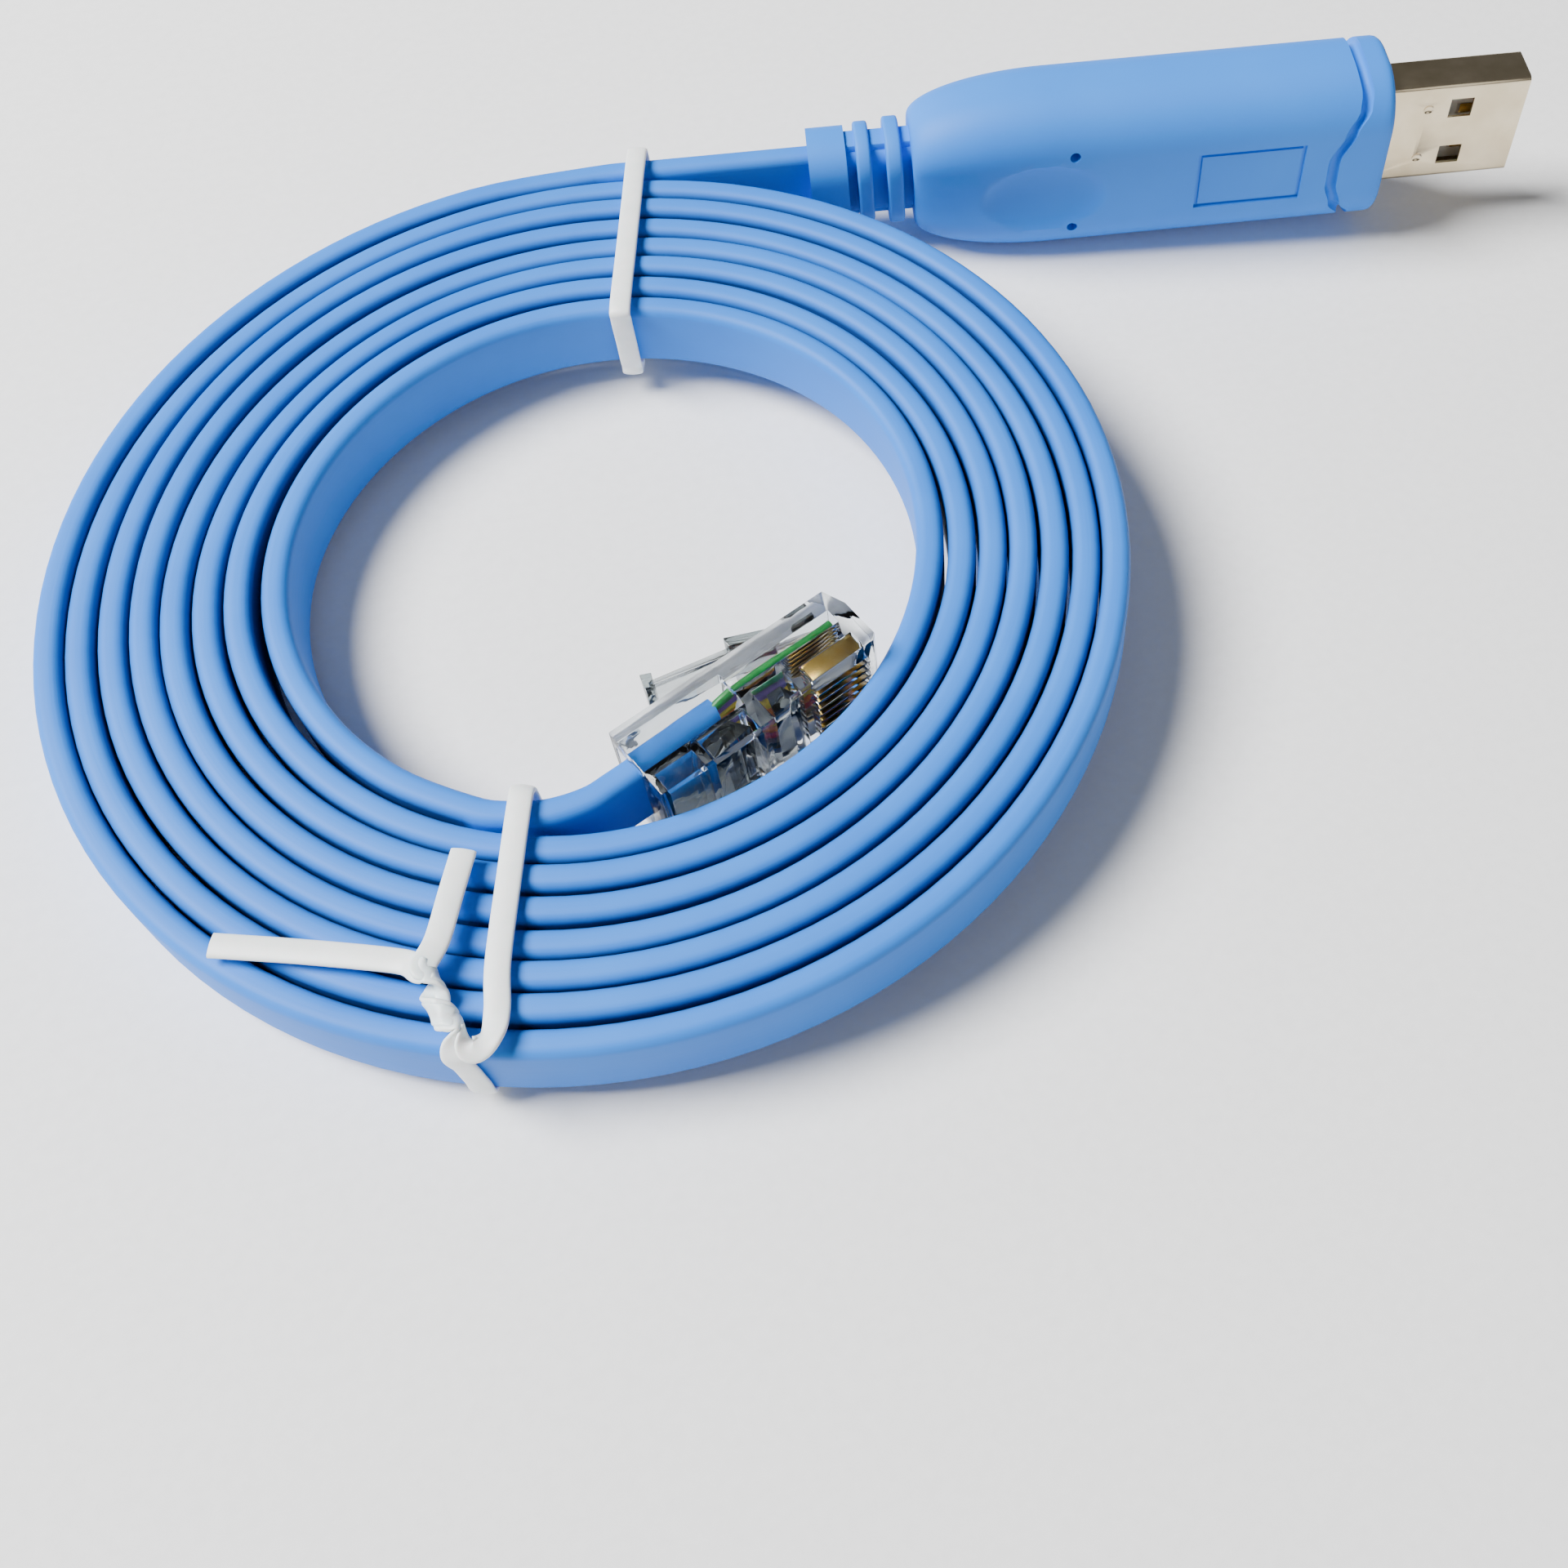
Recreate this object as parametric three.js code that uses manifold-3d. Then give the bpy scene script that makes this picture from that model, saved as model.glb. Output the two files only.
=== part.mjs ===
// A console cable: a flat cable wound on edge into a coil, with a USB-A plug in a long grip at its
// outer end, a clear 8-way modular plug at its inner end, and two plastic-covered wire ties.
// Millimetres, +Z up. The coil is modelled flat round its own centre, with the plugs level with the
// middle of the cable, and then the whole is tilted to lie on its lowest points.

import * as THREE from 'three';
import { mergeVertices } from 'three/addons/utils/BufferGeometryUtils.js';
import Module from 'manifold-3d';

const wasm = await Module();
wasm.setup();

const seatGap = 0.3;

// Cable and coil
const cableWidth = 7.0;
const cableThickness = 2.4;
const turnPitch = 2.66;
const firstTurnRadius = 26.9;
const coilTurns = 7.514;
const ridgeCount = 8;
const ridgeDepth = 1.0;
const coilSegments = 60;
const midHeight = cableWidth / 2;

// USB plug, measured from the front face of its grip
const shellWidth = 12.0;
const shellHeight = 4.5;
const shellLength = 14.8;
const shellWall = 0.3;
const shellCorner = 0.6;
const windowLength = 2.4;
const windowWidth = 2.3;
const windowSpacing = 6.0;
const windowSetback = 8.1;
const tongueThickness = 1.7;
const tongueSetback = 0.6;
const usbContactWidth = 1.0;
const usbContactThickness = 0.25;
const usbContactLength = 4.4;
const usbContactPlaces = [-3.5, -1.0, 1.0, 3.5];

const gripLength = 48.6;
const gripWidth = 18.0;
const gripThickness = 12.4;
const gripCorner = 5.2;
const gripNeckWidth = 10.4;
const gripNeckThickness = 7.8;
const gripTaperLength = 14.0;
const gripFrontRound = 0.8;
const seamWidth = 0.9;
const seamDepth = 0.6;
const seamEdgeSetback = 4.1;
const seamMiddleSetback = 6.2;
const panelLength = 11.0;
const panelWidth = 6.8;
const panelDepth = 0.35;
const panelSetback = 14.3;
const dentLength = 12.4;
const dentWidth = 8.2;
const dentDepth = 0.7;
const dentSetback = 35.5;
const pinholeDiameter = 1.1;
const pinholeDepth = 1.5;
const pinholeSetback = 32.5;
const pinholeSpacing = 9.1;
const reliefCoreWidth = 9.0;
const reliefCoreThickness = 5.0;
const reliefRingWidth = 10.4;
const reliefRingThickness = 7.4;
const reliefRibs = [
  { start: 58.4, length: 2.6 },
  { start: 54.2, length: 1.5 },
  { start: 51.2, length: 1.6 },
];
const plugHeading = -12.5;
const leadStraight = 22.3;

// Modular plug, measured from the middle of its back face
const plugWidth = 11.68;
const plugThickness = 7.4;
const plugNoseThickness = 6.6;
const plugLength = 22.0;
const noseLength = 9.0;
const cableSeat = 1.3;
const jacketDepth = 8.4;
const conductorCount = 8;
const conductorPitch = 1.016;
const conductorDiameter = 0.7;
const conductorEnd = 20.4;
const bladeLength = 5.2;
const bladeThickness = 0.35;
const bladeDepth = 2.3;
const bladeSetback = 1.3;
const slotClearance = 0.3;
const clampStart = 5.2;
const clampLength = 3.6;
const clampDepth = 1.6;
const latchTailWidth = 3.25;
const latchShoulderWidth = 6.2;
const latchThickness = 1.0;
const latchRise = 4.4;
const latchTailSetback = 5.6;
const latchRootSetback = 19.6;
const latchShoulderSetback = 13.2;
const latchShoulderLength = 3.2;
const plugBackRadius = 24.54;
const plugBackAngle = -95.14;
const plugTurn = 20.4;

// Ties
const tieWidth = 2.1;
const tieThickness = 0.6;
const tieAngleFar = 72.0;
const tieAngleNear = -113.6;
const twistLength = 8.2;
const twistWidth = 2.6;
const twistHeight = 1.5;
const longTailLength = 16.4;
const longTailTurn = 154.5;
const shortTailLength = 9.8;
const shortTailTurn = 64.4;
const farTwistLength = 7.0;

const radians = THREE.MathUtils.degToRad;

// Coil sizes that follow from the driving values
const lastTurnRadius = firstTurnRadius + coilTurns * turnPitch;
const coilBoreRadius = firstTurnRadius - cableThickness / 2 + turnPitch / 5;
const coilOuterRadius = coilBoreRadius + (ridgeCount - 1) * turnPitch + cableThickness;

// Joins and cuts

function toSolid(geometry) {
  const bare = geometry.clone();
  bare.deleteAttribute('normal');
  bare.deleteAttribute('uv');
  const merged = mergeVertices(bare, 1e-5);
  return new wasm.Manifold(new wasm.Mesh({
    numProp: 3,
    vertProperties: Float32Array.from(merged.attributes.position.array),
    triVerts: Uint32Array.from(merged.index.array),
  }));
}

function toGeometry(solid) {
  const mesh = solid.getMesh();
  const geometry = new THREE.BufferGeometry();
  geometry.setAttribute('position', new THREE.BufferAttribute(mesh.vertProperties, 3));
  geometry.setIndex(new THREE.BufferAttribute(mesh.triVerts, 1));
  geometry.computeVertexNormals();
  return geometry;
}

function cut(solid, tools) {
  return tools.reduce((left, tool) => left.subtract(tool), solid);
}

function joined(solids) {
  return solids.reduce((whole, solid) => whole.add(solid));
}

// Shapes

function roundedRectangle(width, height, corner) {
  const shape = new THREE.Shape();
  const x = width / 2;
  const y = height / 2;
  const turns = [[x - corner, y - corner], [corner - x, y - corner], [corner - x, corner - y], [x - corner, corner - y]];
  shape.moveTo(x, y - corner);
  turns.forEach(([cx, cy], quarter) => {
    shape.absarc(cx, cy, corner, quarter * Math.PI / 2, (quarter + 1) * Math.PI / 2);
  });
  shape.closePath();
  return shape;
}

function polygon(points) {
  return new THREE.Shape(points.map(([x, y]) => new THREE.Vector2(x, y)));
}

function extrude(shape, depth, curveSegments = 4) {
  return new THREE.ExtrudeGeometry(shape, { depth, bevelEnabled: false, curveSegments });
}

// A section drawn across a plug, swept along it from start to end.
function alongPlug(shape, start, end, curveSegments) {
  const geometry = extrude(shape, end - start, curveSegments);
  geometry.applyMatrix4(new THREE.Matrix4().set(0, 0, 1, start, 1, 0, 0, 0, 0, 1, 0, 0, 0, 0, 0, 1));
  return toSolid(geometry);
}

// A plan drawn on a plug's broad face, swept through its thickness from low to high.
function throughThickness(shape, low, high, curveSegments) {
  const geometry = extrude(shape, high - low, curveSegments);
  geometry.rotateX(Math.PI / 2);
  geometry.translate(0, high, 0);
  return toSolid(geometry);
}

// A profile drawn on a plug's narrow side, swept through its width.
function throughWidth(shape, width) {
  const geometry = extrude(shape, width);
  geometry.translate(0, 0, -width / 2);
  return toSolid(geometry);
}

function block(sizeX, sizeY, sizeZ, x, y, z) {
  const geometry = new THREE.BoxGeometry(sizeX, sizeY, sizeZ);
  geometry.translate(x, y, z);
  return toSolid(geometry);
}

// Cable

function stadium(width, thickness) {
  return roundedRectangle(width, thickness, thickness / 2 - 0.001);
}

function flatTube(points, width, thickness, steps) {
  const route = new THREE.CatmullRomCurve3(points.map(([x, y]) => new THREE.Vector3(x, y, midHeight)));
  return new THREE.ExtrudeGeometry(stadium(width, thickness), { extrudePath: route, steps, curveSegments: 2 });
}

function headingVector(degrees) {
  return [Math.cos(radians(degrees)), Math.sin(radians(degrees))];
}

function polar(radius, degrees) {
  const [x, y] = headingVector(degrees);
  return [radius * x, radius * y];
}

// The straight run from the coil's last turn to the grip.
function usbRoute(startShift, endShift) {
  const [startX, startY] = polar(lastTurnRadius, 90 + plugHeading);
  const [x, y] = headingVector(plugHeading);
  const stops = [startShift, leadStraight / 2, leadStraight + endShift];
  return stops.map((stop) => [startX + stop * x, startY + stop * y]);
}

// The inner end: it leaves the first turn, bends towards the clear plug and runs into it.
function modularRoute(endShift) {
  const [backX, backY] = polar(plugBackRadius, plugBackAngle);
  const [x, y] = headingVector(plugTurn);
  const inside = (depth) => [backX + depth * x - cableSeat * y, backY + depth * y + cableSeat * x];
  return [
    [-15.6, -22.1],
    [-12.9, -23.65],
    [-9.9, -24.55],
    [-6.6, -24.55],
    inside(-1.5),
    inside(jacketDepth / 2),
    inside(jacketDepth + endShift),
  ];
}

function usbLead() {
  return flatTube(usbRoute(seatGap, -seatGap), cableWidth, cableThickness, 3);
}

function modularLead() {
  return flatTube(modularRoute(0), cableWidth, cableThickness, 12);
}

function coilRing() {
  const top = [];
  const crown = cableThickness / 4;
  for (let turn = 0; turn < ridgeCount; turn += 1) {
    const middle = coilBoreRadius + cableThickness / 2 + turn * turnPitch;
    top.push([middle - crown, cableWidth], [middle + crown, cableWidth]);
    if (turn < ridgeCount - 1) top.push([middle + turnPitch / 2, cableWidth - ridgeDepth]);
  }
  const lower = top.map(([radius, height]) => [radius, cableWidth - height]);
  const outerEdge = [[coilOuterRadius, cableWidth - ridgeDepth], [coilOuterRadius, ridgeDepth]];
  const boreEdge = [[coilBoreRadius, ridgeDepth], [coilBoreRadius, cableWidth - ridgeDepth]];
  const profile = [...top, ...outerEdge, ...lower.reverse(), ...boreEdge];
  profile.push(profile[0]);
  profile.reverse();
  const ring = new THREE.LatheGeometry(profile.map(([x, y]) => new THREE.Vector2(x, y)), coilSegments);
  ring.rotateX(Math.PI / 2);
  return toSolid(ring);
}

function coil() {
  const wide = cableWidth + 4 * seatGap;
  const thick = cableThickness + 2 * seatGap;
  const usbWay = toSolid(flatTube(usbRoute(0, 0), wide, thick, 3));
  const modularWay = toSolid(flatTube(modularRoute(0), wide, thick, 12));
  const plugWay = block(plugLength + 2 * seatGap, plugThickness + 2 * seatGap, plugWidth + 2 * seatGap,
    plugLength / 2, 0, 0).transform(plugPlace().elements);
  return toGeometry(cut(coilRing(), [usbWay, modularWay, plugWay]));
}

// Places of the two plugs: x runs forward along the plug, y across its thickness, z across its width.

function gripPlace() {
  const [startX, startY] = polar(lastTurnRadius, 90 + plugHeading);
  const [x, y] = headingVector(plugHeading);
  const reach = leadStraight + reliefRibs[0].start;
  const turn = new THREE.Matrix4().makeRotationZ(radians(plugHeading));
  return turn.setPosition(startX + reach * x, startY + reach * y, midHeight);
}

function plugPlace() {
  const [x, y] = polar(plugBackRadius, plugBackAngle);
  const turn = new THREE.Matrix4().makeRotationZ(radians(plugTurn));
  return turn.setPosition(x, y, midHeight);
}

// USB plug

function gripOutline(width, neck) {
  const half = width / 2;
  const back = -gripLength;
  const shape = new THREE.Shape();
  shape.moveTo(0, gripFrontRound - half);
  shape.lineTo(0, half - gripFrontRound);
  shape.lineTo(-gripFrontRound, half);
  const taperStart = back + gripTaperLength;
  const taperDepth = (width - neck) / 2;
  shape.absellipse(taperStart, neck / 2, gripTaperLength, taperDepth, Math.PI / 2, Math.PI);
  shape.absellipse(taperStart, -neck / 2, gripTaperLength, taperDepth, Math.PI, Math.PI * 1.5);
  shape.lineTo(-gripFrontRound, -half);
  shape.closePath();
  return shape;
}

function seamBand() {
  const reach = gripWidth;
  const stops = [-1, -0.5, -0.36, -0.22, -0.08, 0.06, 0.2, 0.34, 0.5, 1];
  const back = stops.map((stop) => {
    const wave = Math.max(0, Math.cos(Math.PI * Math.min(Math.abs(stop + 0.08), 0.5)));
    return [-(seamEdgeSetback + (seamMiddleSetback - seamEdgeSetback) * wave), stop * reach];
  });
  const front = back.map(([x, y]) => [x + seamWidth, y]).reverse();
  return throughThickness(polygon([...front, ...back]), -gripThickness, gripThickness);
}

function grip() {
  const section = roundedRectangle(gripThickness, gripWidth, gripCorner);
  const body = alongPlug(section, -gripLength, 0, 5)
    .intersect(throughThickness(gripOutline(gripWidth, gripNeckWidth), -gripThickness, gripThickness, 6))
    .intersect(throughWidth(gripOutline(gripThickness, gripNeckThickness), gripWidth * 2));
  const coreSection = roundedRectangle(gripThickness - 2 * seamDepth, gripWidth - 2 * seamDepth, gripCorner - seamDepth);
  const seam = seamBand().subtract(alongPlug(coreSection, -gripLength, gripLength, 5));
  const face = -gripThickness / 2;
  const panel = block(panelLength, 2 * panelDepth, panelWidth, -panelSetback, face, 0);
  const pinholes = [-1, 1].map((side) => {
    const hole = new THREE.CylinderGeometry(pinholeDiameter / 2, pinholeDiameter / 2, 2 * pinholeDepth, 10);
    hole.translate(-pinholeSetback, face, side * pinholeSpacing / 2);
    return toSolid(hole);
  });
  const dent = new THREE.SphereGeometry(1, 20, 12);
  dent.scale(dentLength / 2, dentDepth, dentWidth / 2);
  dent.translate(-dentSetback, face, 0);
  const relief = reliefRibs.map(({ start, length }) => {
    const rib = roundedRectangle(reliefRingThickness, reliefRingWidth, reliefRingThickness * 0.3);
    return alongPlug(rib, -start, length - start, 3);
  });
  const coreShape = roundedRectangle(reliefCoreThickness, reliefCoreWidth, reliefCoreThickness * 0.3);
  const core = alongPlug(coreShape, -reliefRibs[0].start, -gripLength + 1, 3);
  return toGeometry(joined([cut(body, [seam, panel, toSolid(dent), ...pinholes]), core, ...relief]));
}

function shell() {
  const outer = alongPlug(roundedRectangle(shellHeight, shellWidth, shellCorner), seatGap, shellLength);
  const inner = roundedRectangle(shellHeight - 2 * shellWall, shellWidth - 2 * shellWall, shellCorner - shellWall);
  const hollow = alongPlug(inner, 0, shellLength + 1);
  const windows = [-1, 1].map((side) => block(windowLength, shellHeight * 2, windowWidth,
    windowSetback, 0, side * windowSpacing / 2));
  return toGeometry(cut(outer, [hollow, ...windows]));
}

// The tongue lies against the shell's far wall and leaves the mouth open in front of it.
function tongueFace() {
  return shellHeight / 2 - shellWall - seatGap - tongueThickness;
}

function tongue() {
  const length = shellLength - tongueSetback - seatGap;
  const width = shellWidth - 2 * (shellWall + seatGap);
  return toGeometry(block(length, tongueThickness, width,
    seatGap + length / 2, tongueFace() + tongueThickness / 2, 0));
}

function usbContact(place) {
  const front = shellLength - tongueSetback - 0.8;
  return toGeometry(block(usbContactLength, usbContactThickness, usbContactWidth,
    front - usbContactLength / 2, tongueFace() - seatGap - usbContactThickness / 2, place));
}

// Modular plug: the latch is on its +y side and the contacts open on its -y side.

function plugProfile() {
  const back = plugThickness / 2;
  const noseLow = back - plugNoseThickness;
  return polygon([
    [0, -back],
    [plugLength - noseLength - 0.6, -back],
    [plugLength - noseLength, noseLow],
    [plugLength - 0.5, noseLow],
    [plugLength, noseLow + 0.5],
    [plugLength, back - 2.2],
    [plugLength - 0.8, back],
    [0, back],
  ]);
}

function latchProfile() {
  const root = plugThickness / 2;
  const tail = root + latchRise;
  const shoulder = root + latchRise * 0.46;
  return polygon([
    [latchRootSetback - 1.6, root - 0.6],
    [latchRootSetback, root - 0.6],
    [latchRootSetback - 0.4, root + latchThickness * 0.5],
    [latchShoulderSetback, shoulder + latchThickness],
    [latchTailSetback, tail + latchThickness * 0.4],
    [latchTailSetback, tail - latchThickness * 0.6],
    [latchShoulderSetback, shoulder],
    [latchRootSetback - 2.6, root + latchThickness * 0.45],
  ]);
}

function shoulderProfile() {
  const root = plugThickness / 2;
  const height = root + latchRise * 0.46;
  const start = latchShoulderSetback - 0.8;
  return polygon([
    [start, height - 0.2],
    [start + latchShoulderLength, height - latchRise * 0.26],
    [start + latchShoulderLength, height + latchThickness * 0.2],
    [start, height + latchThickness * 1.5],
  ]);
}

function bladePlace(index) {
  return (index - (conductorCount - 1) / 2) * conductorPitch;
}

function bladeMiddle() {
  return plugLength - bladeSetback - bladeLength / 2;
}

function bladeOuterFace() {
  return plugThickness / 2 - plugNoseThickness + 0.2;
}

function modularPlug() {
  const body = joined([
    throughWidth(plugProfile(), plugWidth),
    throughWidth(latchProfile(), latchTailWidth),
    throughWidth(shoulderProfile(), latchShoulderWidth),
  ]);
  const jacketHole = block(jacketDepth + 2 * seatGap + 1, cableThickness + 2 * seatGap, cableWidth + 2 * seatGap,
    (jacketDepth + 2 * seatGap - 1) / 2, cableSeat, 0);
  const clamp = block(clampLength, clampDepth * 2, cableWidth, clampStart + clampLength / 2, -plugThickness / 2, 0);
  const wireWidth = conductorCount * conductorPitch + 0.4;
  const wireHole = block(conductorEnd - jacketDepth + seatGap, conductorDiameter + 2 * seatGap, wireWidth,
    (conductorEnd + jacketDepth + seatGap) / 2, cableSeat, 0);
  const slots = [];
  for (let index = 0; index < conductorCount; index += 1) {
    slots.push(block(bladeLength + 2 * slotClearance, 2 * (bladeDepth + slotClearance),
      bladeThickness + slotClearance, bladeMiddle(), bladeOuterFace() - 0.2, bladePlace(index)));
  }
  return toGeometry(cut(body, [jacketHole, clamp, wireHole, ...slots]));
}

function blade(index) {
  return toGeometry(block(bladeLength, bladeDepth, bladeThickness,
    bladeMiddle(), bladeOuterFace() + bladeDepth / 2, bladePlace(index)));
}

function conductor(index) {
  const start = jacketDepth + seatGap;
  const wire = new THREE.CylinderGeometry(conductorDiameter / 2, conductorDiameter / 2, conductorEnd - start, 8);
  wire.rotateZ(-Math.PI / 2);
  wire.translate((conductorEnd + start) / 2, cableSeat, bladePlace(index));
  return wire;
}

// Ties: x runs outwards from the coil's centre, y round the coil, z up.

function tieLoop(innerRadius, outerRadius) {
  const middle = (innerRadius + outerRadius) / 2;
  const span = outerRadius - innerRadius;
  const height = cableWidth + 2 * seatGap;
  const outer = roundedRectangle(span + 2 * tieThickness, height + 2 * tieThickness, 0.5 + tieThickness);
  const inner = roundedRectangle(span, height, 0.5);
  const swept = (shape) => {
    const geometry = extrude(shape, tieWidth, 3);
    geometry.translate(0, 0, -tieWidth / 2);
    geometry.rotateX(Math.PI / 2);
    geometry.translate(middle, 0, midHeight);
    return toSolid(geometry);
  };
  const hole = swept(inner);
  return swept(outer).subtract(hole);
}

function barFrom(x, y, turn, length, width, height, low) {
  const geometry = new THREE.BoxGeometry(length, width, height);
  geometry.translate(length / 2, 0, low + height / 2);
  geometry.rotateZ(radians(turn));
  geometry.translate(x, y, 0);
  return toSolid(geometry);
}

function nearTie() {
  const leadInside = 25.0;
  const outside = coilOuterRadius + seatGap;
  const top = cableWidth + seatGap;
  const own = tieAngleNear;
  const knotX = outside - 0.6;
  const twistTurn = 196;
  const [dx, dy] = headingVector(twistTurn);
  const endX = knotX + dx * (twistLength - 0.8);
  const endY = dy * (twistLength - 0.8);
  return toGeometry(joined([
    tieLoop(leadInside - seatGap, outside),
    barFrom(knotX, 0, twistTurn, twistLength, twistWidth, twistHeight, top),
    barFrom(endX, endY, longTailTurn - own, longTailLength, tieWidth, tieThickness, top),
    barFrom(endX, endY, shortTailTurn - own, shortTailLength, tieWidth, tieThickness, top + tieThickness * 0.5),
  ]));
}

function farTie() {
  const outside = lastTurnRadius / Math.cos(radians(90 + plugHeading - tieAngleFar)) + cableThickness / 2 + seatGap;
  const twist = block(tieThickness * 2, farTwistLength, twistWidth,
    outside + tieThickness, farTwistLength / 2, midHeight);
  return toGeometry(joined([tieLoop(coilBoreRadius - seatGap, outside), twist]));
}

// Assembly

const blueJacket = { color: 0x7fb4ee, roughness: 0.5, metalness: 0 };
const blueGrip = { color: 0x84b7ee, roughness: 0.6, metalness: 0 };
const nickel = { color: 0xc9bfae, roughness: 0.25, metalness: 1 };
const clearPlastic = { color: 0xe8ecec, roughness: 0.1, metalness: 0, transparent: true, opacity: 0.4 };
const whitePlastic = { color: 0xf2f2f0, roughness: 0.5, metalness: 0 };
const gold = { color: 0xd9b15a, roughness: 0.25, metalness: 1 };
const wireColours = [0x2a5fc4, 0x1b1b1e, 0x7a4a2c, 0xd8322c, 0xe8842a, 0xe8cc3a, 0x7a4fa0, 0x1f8f3f];

function part(name, geometry, finish) {
  const mesh = new THREE.Mesh(geometry, new THREE.MeshStandardMaterial(finish));
  mesh.name = name;
  return mesh;
}

function placed(matrix, meshes) {
  const group = new THREE.Group();
  group.applyMatrix4(matrix);
  group.add(...meshes);
  return group;
}

function usbEnd() {
  const contacts = usbContactPlaces.map((place, index) => part(`usb_contact_${index + 1}`, usbContact(place), gold));
  return placed(gripPlace(), [
    part('usb_overmould', grip(), blueGrip),
    part('usb_shell', shell(), nickel),
    part('usb_tongue', tongue(), whitePlastic),
    ...contacts,
  ]);
}

function modularEnd() {
  const meshes = [part('rj45_body', modularPlug(), clearPlastic)];
  for (let index = 0; index < conductorCount; index += 1) {
    const wireFinish = { color: wireColours[index], roughness: 0.5, metalness: 0 };
    meshes.push(part(`rj45_contact_${index + 1}`, blade(index), gold));
    meshes.push(part(`rj45_wire_${index + 1}`, conductor(index), wireFinish));
  }
  return placed(plugPlace(), meshes);
}

function tieAt(angle, name, geometry) {
  return placed(new THREE.Matrix4().makeRotationZ(radians(angle)), [part(name, geometry, whitePlastic)]);
}

// The slopes of the plane that touches the points from below and is highest under the centre.
function restingSlopes(points, centreX, centreY) {
  const height = (slopeX, slopeY) => points.reduce((least, [x, y, z]) => (
    Math.min(least, z - slopeX * (x - centreX) - slopeY * (y - centreY))), Infinity);
  const best = (measure) => {
    let low = -0.3;
    let high = 0.3;
    while (high - low > 1e-7) {
      const third = (high - low) / 3;
      if (measure(low + third) < measure(high - third)) low += third;
      else high -= third;
    }
    return (low + high) / 2;
  };
  const acrossFor = (slopeX) => best((slopeY) => height(slopeX, slopeY));
  const slopeX = best((slope) => height(slope, acrossFor(slope)));
  return [slopeX, acrossFor(slopeX)];
}

// Every corner of the model lower than the coil's middle, one for each small square seen from above.
function lowPoints(group) {
  const lowest = new Map();
  const point = new THREE.Vector3();
  const square = 1.5;
  group.updateMatrixWorld(true);
  group.traverse((node) => {
    if (!node.isMesh) return;
    const corners = node.geometry.attributes.position;
    for (let index = 0; index < corners.count; index += 1) {
      point.fromBufferAttribute(corners, index).applyMatrix4(node.matrixWorld);
      const key = `${Math.round(point.x / square)},${Math.round(point.y / square)}`;
      if (point.z < midHeight && !(lowest.get(key)?.[2] <= point.z)) lowest.set(key, point.toArray());
    }
  });
  return [...lowest.values()];
}

function restOnFloor(group) {
  const weightX = coilOuterRadius / 6;
  const weightY = coilOuterRadius / 12;
  const [slopeX, slopeY] = restingSlopes(lowPoints(group), weightX, weightY);
  const upright = new THREE.Vector3(-slopeX, -slopeY, 1).normalize();
  group.quaternion.setFromUnitVectors(upright, new THREE.Vector3(0, 0, 1));
  group.updateMatrixWorld(true);
  const box = new THREE.Box3().setFromObject(group, true);
  const middle = box.getCenter(new THREE.Vector3());
  group.position.set(-middle.x, -middle.y, -box.min.z);
}

const cable = new THREE.Group();
cable.add(
  part('cable_coil', coil(), blueJacket),
  part('cable_lead_usb', usbLead(), blueJacket),
  part('cable_lead_rj45', modularLead(), blueJacket),
  usbEnd(),
  modularEnd(),
  tieAt(tieAngleFar, 'twist_tie_far', farTie()),
  tieAt(tieAngleNear, 'twist_tie_near', nearTie()),
);
restOnFloor(cable);

export default cable;
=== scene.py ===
import math

import bpy
from mathutils import Matrix, Vector


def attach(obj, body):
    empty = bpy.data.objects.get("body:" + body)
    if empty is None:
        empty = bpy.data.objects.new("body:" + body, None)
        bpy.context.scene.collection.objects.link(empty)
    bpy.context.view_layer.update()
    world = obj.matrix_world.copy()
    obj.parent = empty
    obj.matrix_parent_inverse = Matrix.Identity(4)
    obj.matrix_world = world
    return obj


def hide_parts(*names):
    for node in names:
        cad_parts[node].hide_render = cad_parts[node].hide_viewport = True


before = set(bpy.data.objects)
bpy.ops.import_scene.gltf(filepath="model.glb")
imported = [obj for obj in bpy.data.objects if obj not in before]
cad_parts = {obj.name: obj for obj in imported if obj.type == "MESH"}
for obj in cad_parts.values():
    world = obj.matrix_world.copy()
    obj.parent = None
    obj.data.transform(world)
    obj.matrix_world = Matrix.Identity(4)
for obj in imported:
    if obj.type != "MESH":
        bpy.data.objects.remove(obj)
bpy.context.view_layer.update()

MM = 0.001

# The cable: a flat one of eight conductors, wound on edge. Lengths are in millimetres.
CABLE_WIDTH = 7.0
CABLE_THICKNESS = 2.4
CROWN_RADIUS = 0.9
MIDDLE = CABLE_WIDTH / 2
FIRST_RADIUS = 26.84
TURN_PITCH = 2.67
START_ANGLE = -103.3
FIRST_TURN = 0.0608
LAST_TURN = 7.4978
PLUG_HEADING = -12.5
LEAD_STRAIGHT = 22.3
RELIEF_LENGTH = 58.4


def heading(degrees):
    return Vector((math.cos(math.radians(degrees)), math.sin(math.radians(degrees)), 0))


def coil_pose():
    """Where the coil lies in the row frame: its axis leans, because the grip under its end is wider."""
    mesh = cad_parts["cable_coil"].data
    flats = [face for face in mesh.polygons if face.normal.z > 0.95]
    axis = max(flats, key=lambda face: face.area).normal.copy()
    turn = Vector((0, 0, 1)).rotation_difference(axis).to_matrix().to_4x4()
    level = [turn.inverted() @ vertex.co for vertex in mesh.vertices]
    low = [min(point[way] for point in level) for way in range(3)]
    high = [max(point[way] for point in level) for way in range(3)]
    middle = Matrix.Translation(((low[0] + high[0]) / 2, (low[1] + high[1]) / 2, low[2]))
    return turn @ middle @ Matrix.Scale(MM, 4)


POSE = coil_pose()


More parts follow.
